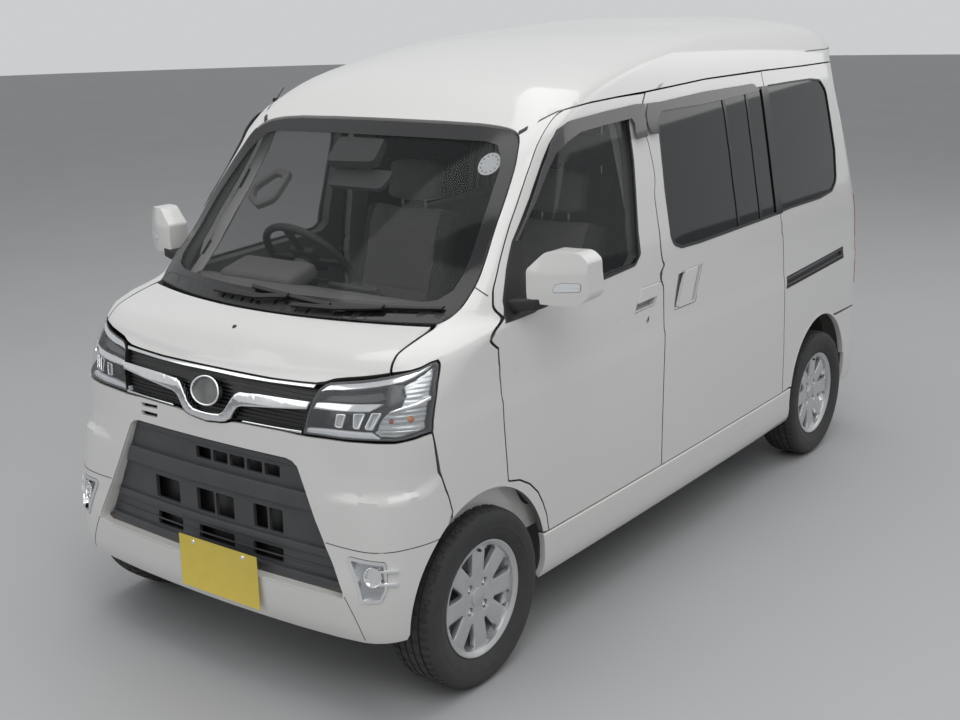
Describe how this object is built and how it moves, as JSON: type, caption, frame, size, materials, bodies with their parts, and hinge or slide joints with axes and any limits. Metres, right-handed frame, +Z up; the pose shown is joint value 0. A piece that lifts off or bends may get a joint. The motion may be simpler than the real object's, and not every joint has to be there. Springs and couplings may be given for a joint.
{
  "type": "kei van",
  "caption": "Small one-box passenger van with a short nose and high roof; doors, tailgate, bonnet and fuel lid open, and the steered wheels turn freely.",
  "frame": {"origin": "on the ground below the middle of the van's length and width, the door mirrors counted on both sides", "axes": "+X forward, +Y towards the van's left side, +Z up"},
  "size_m": [3.395, 1.858, 1.875],
  "materials": {
    "paint": "gloss",
    "tyre": "matte",
    "alloy": "satin",
    "glass": "polished",
    "chassis": "matte",
    "engine": "matte",
    "seat": "woven",
    "plastic": "grained",
    "lamp": "polished",
    "tail_lamp": "polished"
  },
  "bodies": {
    "van": {"roof": "paint", "body_side_left": "paint", "body_side_right": "paint", "floor": "chassis", "wheel_wells": "plastic", "firewall": "chassis", "front_bumper": "paint", "bumper_grille": "plastic", "upper_grille": "plastic", "headlamps": "lamp", "fog_lamps": "lamp", "cowl": "plastic", "windscreen": "glass", "side_glass": "glass", "rear_bumper": "paint", "tail_lamps": "tail_lamp", "side_skirts": "paint", "dashboard": "plastic", "front_seats": "seat", "rear_seat": "seat", "engine": "engine", "fuel_tank": "chassis", "front_suspension": "chassis", "rear_axle": "chassis", "tow_eyes": "chassis", "sliding_doors": "paint"},
    "wheel_front_left": {"tyre_front_left": "tyre", "rim_front_left": "alloy"},
    "wheel_front_right": {"tyre_front_right": "tyre", "rim_front_right": "alloy"},
    "wheel_rear_left": {"tyre_rear_left": "tyre", "rim_rear_left": "alloy"},
    "wheel_rear_right": {"tyre_rear_right": "tyre", "rim_rear_right": "alloy"},
    "steering_knuckle_left": {"knuckle_left": "chassis"},
    "steering_knuckle_right": {"knuckle_right": "chassis"},
    "door_front_left": {"front_door_left": "paint", "front_door_glass_left": "glass", "mirror_left": "paint"},
    "door_front_right": {"front_door_right": "paint", "front_door_glass_right": "glass", "mirror_right": "paint"},
    "rear_gate": {"tailgate": "paint", "tailgate_glass": "glass"},
    "front_bonnet": {"bonnet": "paint"},
    "fuel_filler_lid": {"fuel_lid": "paint"},
    "driver_steering_wheel": {"steering_wheel": "plastic"}
  },
  "joints": [
    {"name": "steer_left", "type": "hinge", "parent": "van", "child": "steering_knuckle_left", "pos_m": [1.2775, 0.6, 0.272], "axis": [0, 0, 1], "range_deg": [-36, 36]},
    {"name": "steer_right", "type": "hinge", "parent": "van", "child": "steering_knuckle_right", "pos_m": [1.2775, -0.6, 0.272], "axis": [0, 0, 1], "range_deg": [-36, 36]},
    {"name": "front_left_spin", "type": "hinge", "parent": "steering_knuckle_left", "child": "wheel_front_left", "pos_m": [1.2775, 0.646, 0.272], "axis": [0, 1, 0], "continuous": true},
    {"name": "front_right_spin", "type": "hinge", "parent": "steering_knuckle_right", "child": "wheel_front_right", "pos_m": [1.2775, -0.646, 0.272], "axis": [0, 1, 0], "continuous": true},
    {"name": "rear_left_spin", "type": "hinge", "parent": "van", "child": "wheel_rear_left", "pos_m": [-1.1725, 0.646, 0.272], "axis": [0, 1, 0], "continuous": true},
    {"name": "rear_right_spin", "type": "hinge", "parent": "van", "child": "wheel_rear_right", "pos_m": [-1.1725, -0.646, 0.272], "axis": [0, 1, 0], "continuous": true},
    {"name": "door_left_swing", "type": "hinge", "parent": "van", "child": "door_front_left", "pos_m": [1.2315, 0.727, 0.75], "axis": [0, 0, -1], "range_deg": [0, 65]},
    {"name": "door_right_swing", "type": "hinge", "parent": "van", "child": "door_front_right", "pos_m": [1.2315, -0.727, 0.75], "axis": [0, 0, 1], "range_deg": [0, 65]},
    {"name": "gate_lift", "type": "hinge", "parent": "van", "child": "rear_gate", "pos_m": [-1.5, 0, 1.841], "axis": [0, 1, 0], "range_deg": [0, 85]},
    {"name": "bonnet_lift", "type": "hinge", "parent": "van", "child": "front_bonnet", "pos_m": [1.24, 0, 1.086], "axis": [0, -1, 0], "range_deg": [0, 50]},
    {"name": "fuel_lid_swing", "type": "hinge", "parent": "van", "child": "fuel_filler_lid", "pos_m": [-1.33, -0.7285, 0.752], "axis": [0, 0, 1], "range_deg": [0, 90]},
    {"name": "steering_wheel_turn", "type": "hinge", "parent": "van", "child": "driver_steering_wheel", "pos_m": [0.862, -0.318, 1.108], "axis": [-0.766, 0, 0.6428], "range_deg": [-540, 540]}
  ],
  "couplings": [
    {"joint": "steer_right", "follows": "steer_left", "ratio": 1},
    {"joint": "steering_wheel_turn", "follows": "steer_left", "ratio": 15}
  ]
}
